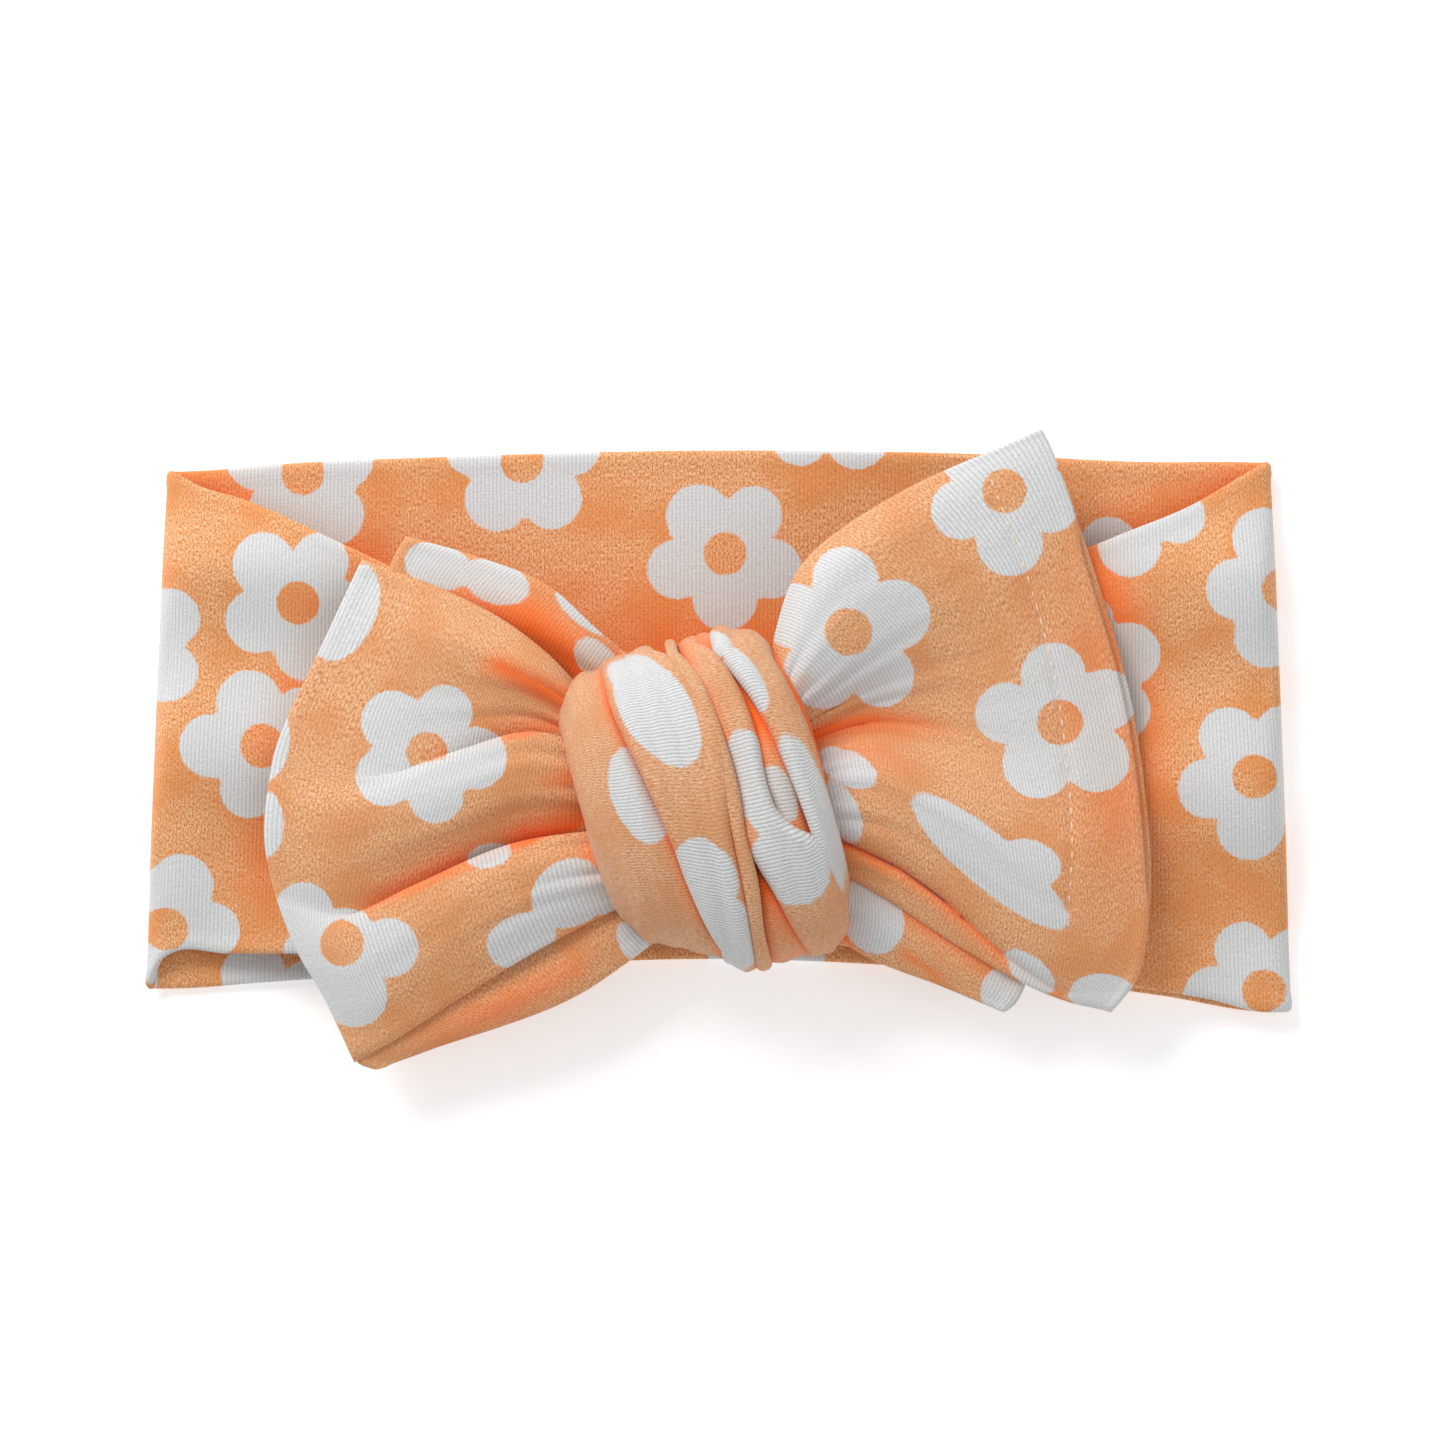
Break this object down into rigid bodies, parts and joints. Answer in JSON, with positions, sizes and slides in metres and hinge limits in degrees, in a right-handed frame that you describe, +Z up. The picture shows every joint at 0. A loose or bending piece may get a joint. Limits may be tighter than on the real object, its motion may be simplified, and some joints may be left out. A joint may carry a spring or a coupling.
{
  "type": "knotted headband",
  "caption": "Soft printed jersey headband lying flat: a doubled band loop gathered into a front knot with a short fanned tail on each side.",
  "frame": {"origin": "on the floor under the middle of the outline of the flat-lying headband", "axes": "+X to the right along the band's flat width, +Y towards the upper edge of the band, +Z up from the floor out through the knot"},
  "size_m": [0.1779, 0.0991, 0.0285],
  "materials": {
    "print_jersey": "matte knit",
    "print_jersey_folded": "matte knit",
    "sewing_thread": "matte spun thread"
  },
  "bodies": {
    "back": {"back_panel": "print_jersey", "left_side_fold": "print_jersey", "right_side_fold": "print_jersey"},
    "front": {"front_left_panel": "print_jersey", "front_right_panel": "print_jersey", "knot_inner_turn": "print_jersey_folded", "knot_pleat_1": "print_jersey_folded", "knot_pleat_2": "print_jersey_folded", "knot_pleat_3": "print_jersey_folded", "knot_pleat_4": "print_jersey_folded", "knot_pleat_5": "print_jersey_folded"},
    "left_tail": {"left_tail_neck": "print_jersey_folded", "left_tail_back_layer": "print_jersey", "left_tail_under_layer": "print_jersey", "left_tail_upper_pleat": "print_jersey", "left_tail_middle_pleat": "print_jersey", "left_tail_lower_pleat": "print_jersey"},
    "right_tail": {"right_tail_neck": "print_jersey_folded", "right_tail_lower_strip": "print_jersey", "right_tail_hem_turn": "print_jersey", "right_tail_upper_layer": "print_jersey", "right_tail_lap": "print_jersey", "right_hem_thread": "sewing_thread"}
  },
  "joints": [
    {"name": "loop_opening", "type": "slide", "parent": "back", "child": "front", "axis": [0, 0, 1], "range_m": [0, 0.035], "deforming": ["left_side_fold", "right_side_fold"]},
    {"name": "left_tail_lift", "type": "hinge", "parent": "front", "child": "left_tail", "pos_m": [-0.02403, -0.01349, 0.014], "axis": [-0.2419, 0.9703, 0], "range_deg": [0, 75]},
    {"name": "right_tail_lift", "type": "hinge", "parent": "front", "child": "right_tail", "pos_m": [0.02003, -0.00251, 0.014], "axis": [0.2419, -0.9703, 0], "range_deg": [0, 75]}
  ]
}
